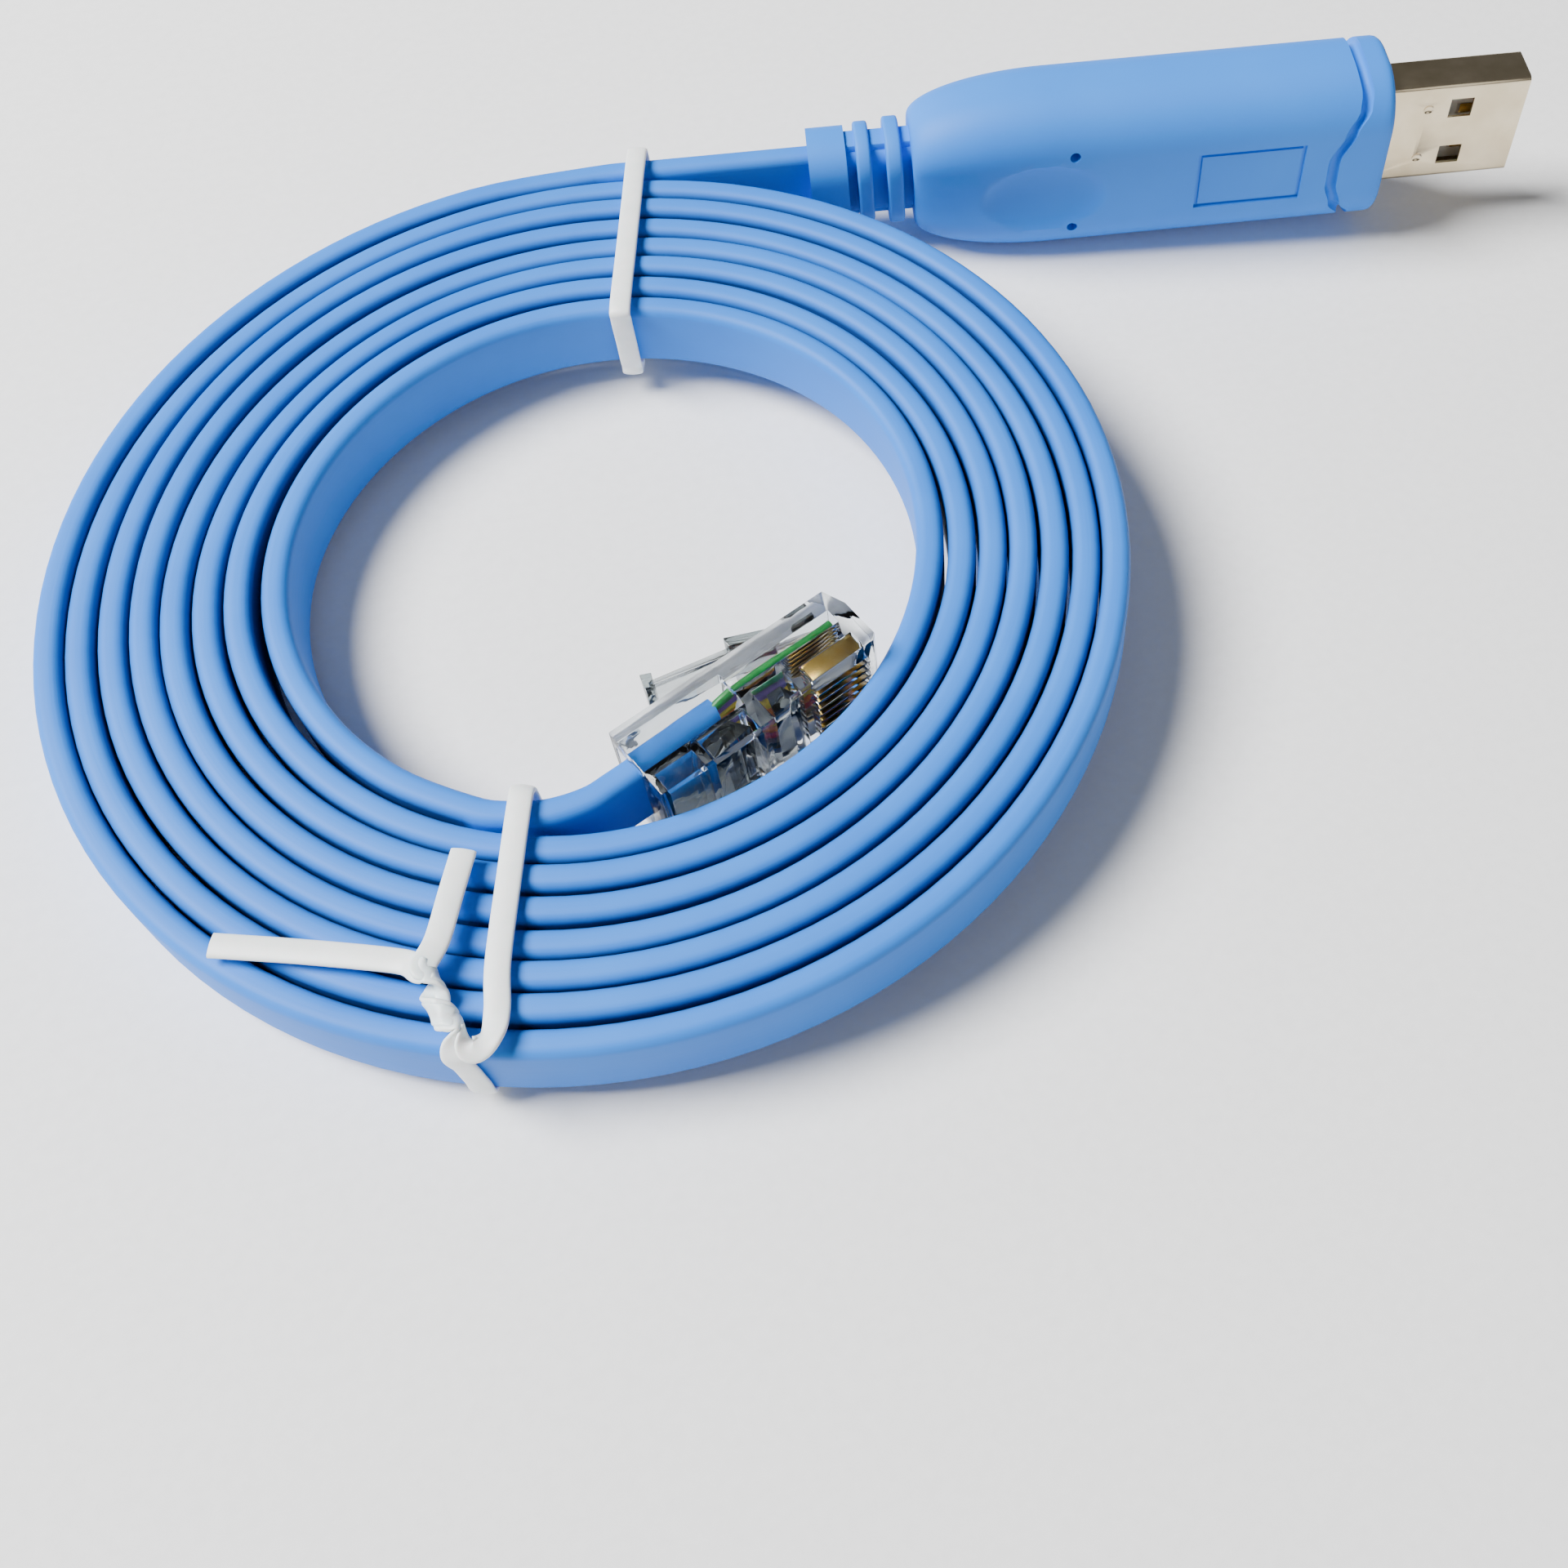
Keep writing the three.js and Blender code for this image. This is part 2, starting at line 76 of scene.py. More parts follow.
def plug_place(point, degrees):
    """Local x across the plug's thickness, y across its width, z forward to its tip."""
    forward = heading(degrees)
    side = heading(degrees + 90)
    columns = Matrix((side, (0, 0, 1), forward)).transposed().to_4x4()
    return POSE @ Matrix.Translation(point) @ columns


LEAD_START = heading(90 + PLUG_HEADING) * (FIRST_RADIUS + TURN_PITCH * LAST_TURN)
LEAD_START.z = MIDDLE
USB = plug_place(LEAD_START + heading(PLUG_HEADING) * (LEAD_STRAIGHT + RELIEF_LENGTH), PLUG_HEADING)
JACK_BACK = heading(-95.14) * 24.54
JACK_BACK.z = MIDDLE
JACK_HEADING = 20.4
JACKET_SEAT = 1.3
JACKET_DEPTH = 8.4
JACK = plug_place(JACK_BACK, JACK_HEADING)


# Camera

def add_camera():
    data = bpy.data.cameras.new("camera")
    data.lens = 40.86
    data.sensor_width = 36
    data.shift_x = -0.0996
    data.shift_y = -0.0726
    data.clip_start = 0.01
    data.clip_end = 20
    camera = bpy.data.objects.new("camera", data)
    bpy.context.scene.collection.objects.link(camera)
    right = Vector((0.9451, -0.3262, -0.0201))
    up = Vector((0.2841, 0.7898, 0.5436))
    back = -Vector((0.1614, 0.5195, -0.8391))
    axes = Matrix((right, up, back)).transposed()
    camera.rotation_mode = "QUATERNION"
    camera.rotation_quaternion = POSE.to_quaternion() @ axes.to_quaternion()
    camera.location = POSE @ Vector((0, -98.6301, 129.3615))
    bpy.context.scene.camera = camera


add_camera()


# Colours and materials

def colour(code):
    parts = [int(code[place:place + 2], 16) / 255 for place in (1, 3, 5)]
    linear = [part / 12.92 if part <= 0.04045 else ((part + 0.055) / 1.055) ** 2.4 for part in parts]
    return (*linear, 1)


def node(tree, kind, settings=None, links=None):
    """Adds one node, sets its sockets and properties by name, and links sockets from other nodes."""
    made = tree.nodes.new(kind)
    for name, value in (settings or {}).items():
        if name in made.inputs:
            made.inputs[name].default_value = value
        else:
            setattr(made, name, value)
    for name, source in (links or {}).items():
        tree.links.new(source, made.inputs[name])
    return made


def start_material(name, settings):
    material = bpy.data.materials.new(name)
    material.use_nodes = True
    tree = material.node_tree
    shader = tree.nodes["Principled BSDF"]
    for key, value in settings.items():
        shader.inputs[key].default_value = value
    return material, tree, shader


def ramp(tree, source, stops):
    made = node(tree, "ShaderNodeValToRGB", links={"Fac": source})
    band = made.color_ramp
    band.elements[0].position, band.elements[0].color = stops[0]
    band.elements[1].position, band.elements[1].color = stops[-1]
    for place, value in stops[1:-1]:
        band.elements.new(place).color = value
    return made.outputs["Color"]


def object_place(tree):
    return node(tree, "ShaderNodeTexCoord").outputs["Object"]


def stretched(tree, place, scale):
    return node(tree, "ShaderNodeMapping", {"Scale": scale}, {"Vector": place}).outputs["Vector"]


def noise(tree, place, scale, detail, dimensions="3D"):
    """Noise with a number of cells in each metre."""
    settings = {"Scale": scale, "Detail": detail, "noise_dimensions": dimensions}
    return node(tree, "ShaderNodeTexNoise", settings, {"Vector": place}).outputs["Fac"]


def vary_gloss(tree, shader, source, low, high):
    gloss = node(tree, "ShaderNodeMapRange", {"To Min": low, "To Max": high}, {"Value": source})
    tree.links.new(gloss.outputs["Result"], shader.inputs["Roughness"])


def roughen(tree, shader, height, strength, distance):
    bump = node(tree, "ShaderNodeBump", {"Strength": strength, "Distance": distance}, {"Height": height})
    tree.links.new(bump.outputs["Normal"], shader.inputs["Normal"])


def vinyl_jacket():
    """Extruded soft vinyl: satin, with a faint lengthwise draw, and painted shade: the colour is darkened
    where two turns shade each other.
    """
    material, tree, shader = start_material("vinyl_jacket", {
        "Roughness": 0.56, "IOR": 1.53, "Specular IOR Level": 0.3})
    along = node(tree, "ShaderNodeTexCoord").outputs["UV"]
    draw = noise(tree, stretched(tree, along, (60, 3000, 1)), 1.0, 3.0, "2D")
    patch = noise(tree, object_place(tree), 90.0, 4.0)
    tint = ramp(tree, patch, [(0.3, colour("#1C76D8")), (0.5, colour("#217BDD")), (0.75, colour("#2780E2"))])
    # Painted shade: the base colour is mixed towards dark navy where a point lies deep between two turns.
    deep = node(tree, "ShaderNodeAttribute", {"attribute_name": "between_turns"})
    painted_shade_mix = node(tree, "ShaderNodeMix", {"data_type": "RGBA"})
    factor, light, dark = painted_shade_mix.inputs[0], painted_shade_mix.inputs[6], painted_shade_mix.inputs[7]
    dark.default_value = colour("#0C3274")
    tree.links.new(deep.outputs["Fac"], factor)
    tree.links.new(tint, light)
    tree.links.new(painted_shade_mix.outputs[2], shader.inputs["Base Color"])
    vary_gloss(tree, shader, patch, 0.5, 0.64)
    roughen(tree, shader, draw, 0.12, 0.0001)
    return material


def moulded_vinyl():
    """Injection-moulded soft vinyl from a spark-eroded mould: an even, fine matt grain."""
    material, tree, shader = start_material("moulded_vinyl", {
        "Roughness": 0.58, "IOR": 1.53, "Specular IOR Level": 0.3})
    place = object_place(tree)
    tint = ramp(tree, noise(tree, place, 70.0, 3.0), [(0.3, colour("#2480E4")), (0.7, colour("#2B86E9"))])
    tree.links.new(tint, shader.inputs["Base Color"])
    roughen(tree, shader, noise(tree, place, 5200.0, 2.0), 0.15, 0.00005)
    return material


def nickel_plate():
    """Bright nickel on drawn steel: a warm mirror, a little cloudy, with fine drawing marks."""
    material, tree, shader = start_material("nickel_plate", {"Metallic": 1.0, "Roughness": 0.2})
    place = object_place(tree)
    cloud = noise(tree, place, 260.0, 4.0)
    tint = ramp(tree, cloud, [(0.3, colour("#CDBC9C")), (0.7, colour("#E2D3B6"))])
    tree.links.new(tint, shader.inputs["Base Color"])
    vary_gloss(tree, shader, cloud, 0.14, 0.32)
    marks = noise(tree, stretched(tree, place, (300, 9000, 9000)), 1.0, 2.0)
    roughen(tree, shader, marks, 0.06, 0.00003)
    return material


def clear_polycarbonate(name, tint, roughness):
    """Injection-moulded polycarbonate: polished and faintly wavy, greyer where it is handled."""
    material, tree, shader = start_material(name, {
        "Base Color": colour(tint), "Roughness": roughness, "IOR": 1.4, "Transmission Weight": 1.0})
    roughen(tree, shader, noise(tree, object_place(tree), 420.0, 2.0), 0.12, 0.0002)
    return material


def gold_flash():
    """Thin gold on phosphor bronze, stamped and wiped bright."""
    material, tree, shader = start_material("gold_flash", {"Metallic": 1.0, "Roughness": 0.25})
    cloud = noise(tree, object_place(tree), 900.0, 3.0)
    tint = ramp(tree, cloud, [(0.3, colour("#D2A650")), (0.7, colour("#E6C777"))])
    tree.links.new(tint, shader.inputs["Base Color"])
    return material


def white_nylon():
    """Moulded white nylon: satin, slightly milky."""
    material, tree, shader = start_material("white_nylon", {
        "Roughness": 0.45, "IOR": 1.5, "Subsurface Weight": 0.1, "Subsurface Scale": 0.001})
    patch = noise(tree, object_place(tree), 300.0, 3.0)
    tint = ramp(tree, patch, [(0.3, colour("#EDEEEA")), (0.7, colour("#F6F6F3"))])
    tree.links.new(tint, shader.inputs["Base Color"])
    return material


def white_polythene():
    """Extruded polythene round a steel wire: soft white, slightly see-through, creased where it twists."""
    material, tree, shader = start_material("white_polythene", {
        "Roughness": 0.4, "IOR": 1.51, "Subsurface Weight": 0.2, "Subsurface Scale": 0.001})
    crease = noise(tree, object_place(tree), 700.0, 4.0)
    tint = ramp(tree, crease, [(0.3, colour("#F1F5F4")), (0.7, colour("#FAFCFB"))])
    tree.links.new(tint, shader.inputs["Base Color"])
    roughen(tree, shader, crease, 0.2, 0.00012)
    return material


def wire_insulation(name, code):
    """Thin coloured insulation on a stranded conductor: smooth and slightly glossy."""
    material, tree, shader = start_material(name, {"Roughness": 0.35, "IOR": 1.5})
    light = colour(code)
    dark = (*(part * 0.8 for part in light[:3]), 1)
    tint = ramp(tree, noise(tree, object_place(tree), 1500.0, 2.0), [(0.3, dark), (0.65, light)])
    tree.links.new(tint, shader.inputs["Base Color"])
    return material


def studio_paper():
    """Matt background paper with a trace of fibre."""
    material, tree, shader = start_material("studio_paper", {"Roughness": 0.9, "Specular IOR Level": 0.1})
    fibre = noise(tree, object_place(tree), 900.0, 3.0)
    tint = ramp(tree, fibre, [(0.3, colour("#F6F6F6")), (0.7, colour("#FBFBFB"))])
    tree.links.new(tint, shader.inputs["Base Color"])
    return material


JACKET = vinyl_jacket()
GRIP = moulded_vinyl()
NICKEL = nickel_plate()
CLEAR = clear_polycarbonate("clear_polycarbonate", "#F6F9F9", 0.02)
HAZY = clear_polycarbonate("handled_polycarbonate", "#C6CCCC", 0.06)
GOLD = gold_flash()
NYLON = white_nylon()
TIE = white_polythene()


# Making and finishing pieces

def finish_piece(piece, material, nodes=(), sharp=35):
    """Gives the piece its material and shading, attaches it to the root body, and hides the solids it stands
    for.
    """
    for other in bpy.context.selected_objects:
        other.select_set(False)
    bpy.context.view_layer.objects.active = piece
    piece.select_set(True)
    bpy.ops.object.shade_smooth_by_angle(angle=math.radians(sharp))
    piece.data.materials.clear()
    piece.data.materials.append(material)
    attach(piece, "root")
    if nodes:
        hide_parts(*nodes)
    return piece


def settle(piece, place):
    """Moves the piece's place into its mesh, so that its object sits at the origin."""
    bpy.context.view_layer.update()
    piece.data.transform(place @ piece.matrix_world)
    piece.matrix_world = Matrix.Identity(4)
    piece.data.update()
    return piece


def clear_selection():
    if bpy.context.object and bpy.context.object.mode != "OBJECT":
        bpy.ops.object.mode_set(mode="OBJECT")
    bpy.ops.object.select_all(action="DESELECT")


def new_mesh(name, vertices, faces):
    mesh = bpy.data.meshes.new(name)
    mesh.from_pydata(vertices, [], faces)
    piece = bpy.data.objects.new(name, mesh)
    bpy.context.scene.collection.objects.link(piece)
    return piece


def apply_modifiers(piece):
    clear_selection()
    bpy.context.view_layer.objects.active = piece
    piece.select_set(True)
    for modifier in list(piece.modifiers):
        bpy.ops.object.modifier_apply(modifier=modifier.name)


def bevel(piece, width, segments=2, angle=30):
    modifier = piece.modifiers.new("bevel", "BEVEL")
    modifier.width = width
    modifier.segments = segments
    modifier.limit_method = "ANGLE"
    modifier.angle_limit = math.radians(angle)
    apply_modifiers(piece)


def cut(piece, tool):
    modifier = piece.modifiers.new("cut", "BOOLEAN")
    modifier.operation = "DIFFERENCE"
    modifier.solver = "EXACT"
    modifier.object = tool
    apply_modifiers(piece)
    bpy.data.objects.remove(tool)


def smooth_line(points, steps):
    """A smooth curve through the points, with a number of steps in each span."""
    line = []
    for index in range(len(points) - 1):
        before = points[max(index - 1, 0)]
        start, end = points[index], points[index + 1]
        after = points[min(index + 2, len(points) - 1)]
        for step in range(steps):
            t = step / steps
            slope = end - before
            bend = 2 * before - 5 * start + 4 * end - after
            twist = 3 * start - before - 3 * end + after
            line.append(0.5 * (2 * start + slope * t + bend * t * t + twist * t * t * t))
    line.append(points[-1].copy())
    return line


def sweep(name, line, normals, section):
    """Sweeps a closed section along the line; its first axis lies along the normals."""
    vertices, faces, around = [], [], len(section)
    for index, point in enumerate(line):
        ahead = line[min(index + 1, len(line) - 1)]
        behind = line[max(index - 1, 0)]
        forward = (ahead - behind).normalized()
        across = (normals[index] - forward * normals[index].dot(forward)).normalized()
        up = forward.cross(across)
        vertices += [point + across * x + up * y for x, y in section]
    for index in range(len(line) - 1):
        for side in range(around):
            a, b = index * around + side, index * around + (side + 1) % around
            faces.append((a, b, b + around, a + around))
    last = (len(line) - 1) * around
    faces.append(tuple(reversed(range(around))))
    faces.append(tuple(range(last, last + around)))
    return new_mesh(name, vertices, faces)


# Cable

LEAD_POINTS = 4
COIL_STEPS = 180
LINE_STEPS = 5
# Where the painted shade between turns starts below the crown, and how deep it goes before it is fully dark.
LIT_DEPTH = 0.1
SHADE_DEPTH = 0.9
BULGES = (0.14, 0.7, 0.66, 0.61, 0.55, 0.49, 0.43, 0.37, 0.3)


def bulge(turn, angle):
    """How far a turn stands out where the coil was gripped: at its left, most on the inner turns."""
    place = min(max(turn - 0.213, 0), 7.999)
    share = BULGES[int(place)] + (BULGES[int(place) + 1] - BULGES[int(place)]) * (place % 1)
    off = (angle % 360 - 180) / 45
    return share * math.exp(-off * off)


def coil_point(turn):
    """A point of the winding: the turns rub, so each one lies a hair off its even place."""
    angle = START_ANGLE - 360 * turn
    radius = FIRST_RADIUS + TURN_PITCH * turn + bulge(turn, angle)
    radius += 0.05 * math.sin(2.3 * math.radians(angle) + 0.8) + 0.03 * math.sin(5.1 * math.radians(angle))
    height = 0.16 * math.sin(1.7 * math.radians(angle) + 0.4)
    point = heading(angle) * radius
    point.z = MIDDLE + height
    return point


def cable_points():
    """The whole cable, from inside the grip's strain relief to the end of its jacket in the clear plug."""
    forward = heading(PLUG_HEADING)
    points = [LEAD_START + forward * stop for stop in (LEAD_STRAIGHT + 1.6, 16.0, 10.0, 5.0)]
    for index in range(COIL_STEPS + 1):
        points.append(coil_point(LAST_TURN + (FIRST_TURN - LAST_TURN) * index / COIL_STEPS))
    points += [Vector((x, y, MIDDLE)) for x, y in ((-12.9, -23.65), (-9.9, -24.55), (-6.6, -24.55))]
    inside = JACK_BACK + heading(JACK_HEADING + 90) * JACKET_SEAT
    points += [inside + heading(JACK_HEADING) * depth for depth in (-1.5, JACKET_DEPTH / 2, JACKET_DEPTH)]
    return points


def cable_section():
    """A flat section with crowned narrow sides."""
    half = CABLE_THICKNESS / 2
    flat = CABLE_WIDTH / 2 - CROWN_RADIUS
    points = []
    for end in (1, -1):
        for centre, start in ((half - CROWN_RADIUS, 0), (CROWN_RADIUS - half, math.pi / 2)):
            for step in range(6):
                angle = start + math.pi / 2 * step / 5
                points.append((end * (centre + CROWN_RADIUS * math.cos(angle)),
                               end * (flat + CROWN_RADIUS * math.sin(angle))))
        points += [(-end * half, end * flat / 3), (-end * half, -end * flat / 3)]
    return points


def paint_shade_between_turns(piece, count, section):
    """Stores how deep each point lies between two turns, where little light comes in, for the jacket's
    painted shade.
    """
    values = []
    for index in range(count):
        turn = LAST_TURN + (FIRST_TURN - LAST_TURN) * (index / LINE_STEPS - LEAD_POINTS) / COIL_STEPS
        on_coil = FIRST_TURN <= turn <= LAST_TURN
        for x, y in section:
            shaded = on_coil and (turn - 1 > FIRST_TURN if x > 0 else turn + 1 < LAST_TURN)
            depth = (CABLE_WIDTH / 2 - LIT_DEPTH - abs(y)) / SHADE_DEPTH
            values.append(min(max(depth, 0), 1) if shaded else 0)
    marks = piece.data.attributes.new("between_turns", "FLOAT", "POINT")
    marks.data.foreach_set("value", values)


def lay_uv(piece, line, section):
    """Length along the cable in u and length round it in v, both in metres."""
    around = len(section)
    girth = [0]
    for index in range(around):
        a, b = Vector(section[index]), Vector(section[(index + 1) % around])
        girth.append(girth[-1] + (b - a).length * MM)
    run = [0]
    for a, b in zip(line, line[1:]):
        run.append(run[-1] + (b - a).length * MM)
    layer = piece.data.uv_layers.new(name="UVMap")
    for face in piece.data.polygons:
        sides = {piece.data.loops[loop].vertex_index % around for loop in face.loop_indices}
        wraps = sides >= {0, around - 1}
        for loop in face.loop_indices:
            vertex = piece.data.loops[loop].vertex_index
            side = vertex % around
            across = girth[around] if wraps and side == 0 else girth[side]
            layer.data[loop].uv = (run[vertex // around], across)


def make_cable():
    points = cable_points()
    line = smooth_line(points, LINE_STEPS)
    section = cable_section()
    normals = []
    for index in range(len(line)):
        forward = line[min(index + 1, len(line) - 1)] - line[max(index - 1, 0)]
        normals.append(Vector((-forward.y, forward.x, 0)).normalized())
    piece = sweep("cable", line, normals, section)
    lay_uv(piece, line, section)
    paint_shade_between_turns(piece, len(line), section)
    settle(piece, POSE)
    finish_piece(piece, JACKET, ("cable_coil", "cable_lead_usb", "cable_lead_rj45"), 60)
    path = [POSE @ point for point in smooth_line(points, 2)]
    return piece, path


cable, cable_path = make_cable()


# The USB grip

GRIP_LENGTH = 48.6
GRIP_WIDTH = 18.0
GRIP_THICKNESS = 12.4
GRIP_CORNER = 5.2
TAPER_LENGTH = 14.0
NECK_HALVES = (3.9, 5.2)
FRONT_ROUND = 0.8


def grip_outline():
    """The grip's section, with pairs of points on its broad faces at the panel's engraved line."""
    x, y = GRIP_THICKNESS / 2, GRIP_WIDTH / 2
    flat = y - GRIP_CORNER
    places = [3.44, 3.36, 3.1, 3.02, 2.4, 1.8, 1.2, 0.6, 0.2]
    places = places + [-place for place in reversed(places)]
    points = []
    for quarter, (cx, cy) in enumerate(((x, y), (-x, y), (-x, -y), (x, -y))):
        centre = (math.copysign(x - GRIP_CORNER, cx), math.copysign(y - GRIP_CORNER, cy))
        for step in range(13):
            angle = math.radians(90 * quarter + 90 * step / 12)
            points.append((centre[0] + GRIP_CORNER * math.cos(angle),
                           centre[1] + GRIP_CORNER * math.sin(angle)))
        if quarter == 1:
            points += [(-x, place) for place in places]
        if quarter == 3:
            points += [(x, place) for place in reversed(places)]
    return points


def grip_half(along, full, neck):
    """How wide the grip is at a place along it: even, then drawn in along an ellipse to its neck."""
    back = max(TAPER_LENGTH - GRIP_LENGTH - along, 0) / TAPER_LENGTH
    return neck + (full - neck) * math.sqrt(max(1 - back * back, 0))


def spaced(start, end, count):
    return [start + (end - start) * step / count for step in range(count)]


def grip_stations():
    """Places along the grip, close together where the seam, the panel, the dent and the taper are."""
    stops = [0, -0.06, -0.22, -0.48, -0.8, -1.3, -1.8, -2.3, -2.7, -2.9]
    stops += [-3.05, -3.1, -3.18, -3.3, -3.48, -3.82, -4.0, -4.12, -4.2, -4.25, -4.5]
    stops += spaced(-5.0, -8.7, 6) + [-8.82, -8.9, -9.15, -9.23] + spaced(-9.8, -19.2, 14)
    stops += [-19.2, -19.47, -19.55, -19.8, -19.88]
    stops += spaced(-20.6, -28.6, 8) + spaced(-28.6, -42.2, 34)
    stops += spaced(-42.2, -46.6, 12) + spaced(-46.6, -48.2, 9)
    return stops + [-48.2, -48.36, -48.48, -48.56, -GRIP_LENGTH]


# The wavy seam: its place across the broad face, and how far it bows back there.
SEAM_BOW = ((-9.1, -0.5), (-7.2, -0.3), (-4.8, 1.2), (-2.2, 1.95), (0.8, 2.0),
            (4.4, 0.7), (6.6, -0.5), (7.8, -0.7), (9.1, -0.5))
SEAM_FRONT = -3.06
SEAM_WIDTH = 1.18
SEAM_DEPTH = 0.85
DENT_PLACE = (-0.3, -35.5)
DENT_REACH = (4.0, 6.2)
PANEL_FRONT = -8.86
PANEL_BACK = -19.84
PANEL_HALF = 3.4
PANEL_DEPTH = 0.12
LINE_DEPTH = 0.34


def seam_bow(across):
    """How far the seam's groove bows back: most in the middle of the broad faces."""
    for (start, low), (end, high) in zip(SEAM_BOW, SEAM_BOW[1:]):
        if start <= across <= end:
            part = (across - start) / (end - start)
            return low + (high - low) * part * part * (3 - 2 * part)
    return SEAM_BOW[0][1] if across < 0 else SEAM_BOW[-1][1]


def seam_follows(along):
    """How much of the bow a place takes: all of it in the groove, none at the panel and the front face."""
    if along > -3.0:
        return max((-along - 0.9) / 2.1, 0)
    return 1 if along > -4.3 else max((8.8 + along) / 4.5, 0)


def dent_depth(across, along):
    reach = ((along - DENT_PLACE[1]) / DENT_REACH[1]) ** 2 + ((across - DENT_PLACE[0]) / DENT_REACH[0]) ** 2
    return (1 - reach) ** 0.6 if reach < 1 else 0


def panel_depth(across, along):
    """A shallow bare panel inside a fine engraved line."""
    inside = min(PANEL_HALF - abs(across), along - PANEL_BACK, PANEL_FRONT - along)
    if inside <= 0:
        return 0
    return LINE_DEPTH if inside < LINE_DEPTH else PANEL_DEPTH


def shape_grip(mesh):
    """Presses the seam groove, the bare panel and the thumb dent into the plain body."""
    for vertex in mesh.vertices:
        thick, across, along = vertex.co
        flat = GRIP_WIDTH / 2 - GRIP_CORNER
        outward = Vector((thick - max(min(thick, 1.0), -1.0), across - max(min(across, flat), -flat), 0))
        if outward.length < 1e-6:
            continue
        outward.normalize()
        depth = 0
        if SEAM_FRONT - SEAM_WIDTH < along < SEAM_FRONT:
            depth = SEAM_DEPTH * math.sin(math.pi * (SEAM_FRONT - along) / SEAM_WIDTH) ** 0.35
        if thick < 0:
            depth = max(depth, dent_depth(across, along), panel_depth(across, along))
        vertex.co = vertex.co - outward * depth - Vector((0, 0, seam_bow(across) * seam_follows(along)))


def make_grip():
    clear_selection()
    outline = grip_outline()
    bpy.ops.mesh.primitive_circle_add(vertices=len(outline), radius=1, fill_type="NGON")
    grip = bpy.context.object
    grip.name = "usb_grip"
    for vertex, (x, y) in zip(grip.data.vertices, outline):
        vertex.co = (x, y, 0)
    stations = grip_stations()
    half_x = [grip_half(stop, GRIP_THICKNESS / 2, NECK_HALVES[0]) for stop in stations]
    half_y = [grip_half(stop, GRIP_WIDTH / 2, NECK_HALVES[1]) for stop in stations]
    for index, stop in enumerate(stations[:5]):
        round_off = FRONT_ROUND - math.sqrt(max(FRONT_ROUND ** 2 - (FRONT_ROUND + stop) ** 2, 0))
        half_x[index] -= round_off
        half_y[index] -= round_off
    bpy.ops.object.mode_set(mode="EDIT")
    bpy.ops.mesh.select_all(action="SELECT")
    bpy.ops.transform.resize(value=(half_x[0] / (GRIP_THICKNESS / 2), half_y[0] / (GRIP_WIDTH / 2), 1))
    for index in range(1, len(stations)):
        bpy.ops.mesh.extrude_region_move(
            TRANSFORM_OT_translate={"value": (0, 0, stations[index] - stations[index - 1])})
        ratio = (half_x[index] / half_x[index - 1], half_y[index] / half_y[index - 1], 1)
        bpy.ops.transform.resize(value=ratio)
    bpy.ops.mesh.select_all(action="SELECT")
    bpy.ops.mesh.normals_make_consistent(inside=False)
    bpy.ops.object.mode_set(mode="OBJECT")
    shape_grip(grip.data)
    for side in (1, -1):
        clear_selection()
        bpy.ops.mesh.primitive_cylinder_add(vertices=24, radius=0.55, depth=3.0, rotation=(0, math.pi / 2, 0),
                                            location=(-GRIP_THICKNESS / 2, side * 4.55, -32.5))
        cut(grip, settle(bpy.context.object, Matrix.Identity(4)))
    return settle(grip, USB)


def rounded_block(name, size, centre, corner=0, segments=4):
    """A block along the plug with its long edges rounded."""
    clear_selection()
    bpy.ops.mesh.primitive_cube_add(size=1, location=centre)
    block = bpy.context.object
    block.name = name
    block.scale = size
    settle(block, Matrix.Identity(4))
    if corner:
        bpy.ops.object.mode_set(mode="EDIT")
        bpy.ops.mesh.select_all(action="DESELECT")
        bpy.ops.object.mode_set(mode="OBJECT")
        for edge in block.data.edges:
            a, b = (block.data.vertices[index].co for index in edge.vertices)
            edge.select = abs(a.z - b.z) > 1e-6
        bpy.ops.object.mode_set(mode="EDIT")
        bpy.ops.mesh.select_mode(type="EDGE")
        bpy.ops.mesh.bevel(offset=corner, segments=segments)
        bpy.ops.object.mode_set(mode="OBJECT")
    return block


def joined(name, blocks):
    clear_selection()
    for block in blocks:
        block.select_set(True)
    bpy.context.view_layer.objects.active = blocks[0]
    bpy.ops.object.join()
    blocks[0].name = name
    return blocks[0]


# Each rib of the strain relief: where it starts, its length, its width and its thickness.
RELIEF_RIBS = ((RELIEF_LENGTH, 2.6, 9.8, 7.6), (54.2, 1.5, 10.2, 7.9), (51.2, 1.6, 10.6, 8.2))


def make_relief():
    """The strain relief: a core with three ribs, bridged on the narrow sides."""
    blocks = []
    for start, length, width, thickness in RELIEF_RIBS:
        rib = rounded_block("rib", (thickness, width, length), (0, 0, length / 2 - start), 3.4, 8)
        bevel(rib, 0.3, 3, 50)
        blocks.append(rib)
    blocks.append(rounded_block("core", (4.4, 8.0, 10.4), (0, 0, -53.0), 1.6, 5))
    for side in (1, -1):
        blocks.append(rounded_block("web", (2.6, 1.4, 9.6), (0, side * 3.85, -53.2), 0.4, 2))
    return settle(joined("usb_relief", blocks), USB)


finish_piece(make_grip(), GRIP, ("usb_overmould",), 32)
finish_piece(make_relief(), GRIP, (), 35)


# The USB shell, its tongue and contacts

SHELL_LENGTH = 14.8
SHELL_WIDTH = 12.0
SHELL_THICKNESS = 4.5
SHELL_WALL = 0.3
SHELL_TAIL = 1.5
CONTACT_PLACES = (-3.5, -1.0, 1.0, 3.5)


